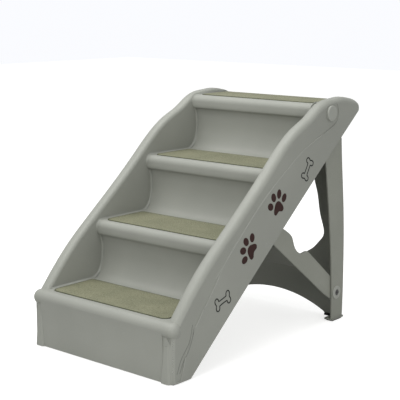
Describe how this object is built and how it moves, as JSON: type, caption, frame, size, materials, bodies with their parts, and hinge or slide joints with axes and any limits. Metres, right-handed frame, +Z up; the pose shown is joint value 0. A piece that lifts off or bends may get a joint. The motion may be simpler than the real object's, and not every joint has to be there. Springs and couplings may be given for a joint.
{
  "type": "folding pet stairs",
  "caption": "Folding pet stairs: moulded steps between hollow side rails, a hinged rear leg frame tied by a folding brace, set-in tread mats and rubber feet.",
  "frame": {"origin": "the middle of the bounding box's base, on the floor", "axes": "+Y runs level from the first step towards the top step, +Z is up and +X is to the right of someone facing the steps"},
  "size_m": [0.4, 0.6366, 0.508],
  "materials": {
    "stair_plastic": "fine-grained satin grey-green",
    "leg_plastic": "fine-grained satin grey-green",
    "pivot_plastic": "smooth satin",
    "washer_plastic": "plain",
    "mat": "speckled, dark edge",
    "foot_rubber": "plain",
    "screw_steel": "dull"
  },
  "bodies": {
    "stairs": {"side_rail_left": "stair_plastic", "side_rail_right": "stair_plastic", "step_1": "stair_plastic", "step_2": "stair_plastic", "step_3": "stair_plastic", "step_4": "stair_plastic", "tread_mat_1": "mat", "tread_mat_2": "mat", "tread_mat_3": "mat", "tread_mat_4": "mat", "upper_pivot_cap_left": "pivot_plastic", "upper_pivot_cap_right": "pivot_plastic", "upper_pivot_washer_left": "washer_plastic", "upper_pivot_washer_right": "washer_plastic", "upper_pivot_screw_left": "screw_steel", "upper_pivot_screw_right": "screw_steel", "front_foot_pad_left": "foot_rubber", "front_foot_pad_right": "foot_rubber"},
    "leg": {"leg_frame": "leg_plastic", "lower_pivot_bush_left": "pivot_plastic", "lower_pivot_bush_right": "pivot_plastic", "lower_pivot_screw_left": "screw_steel", "lower_pivot_screw_right": "screw_steel", "lower_pivot_nut_left": "washer_plastic", "lower_pivot_nut_right": "washer_plastic", "rear_foot_pad_left": "foot_rubber", "rear_foot_pad_right": "foot_rubber"},
    "brace": {"brace_panel": "leg_plastic"}
  },
  "joints": [
    {"name": "leg_fold", "type": "hinge", "parent": "stairs", "child": "leg", "pos_m": [0, 0.19963, 0.47601], "axis": [-1, 0, 0], "range_deg": [0, 45]},
    {"name": "brace_fold", "type": "hinge", "parent": "leg", "child": "brace", "pos_m": [0, 0.24616, 0.066], "axis": [-1, 0, 0], "range_deg": [0, 45]}
  ],
  "couplings": [
    {"joint": "brace_fold", "follows": "leg_fold", "ratio": 1}
  ]
}
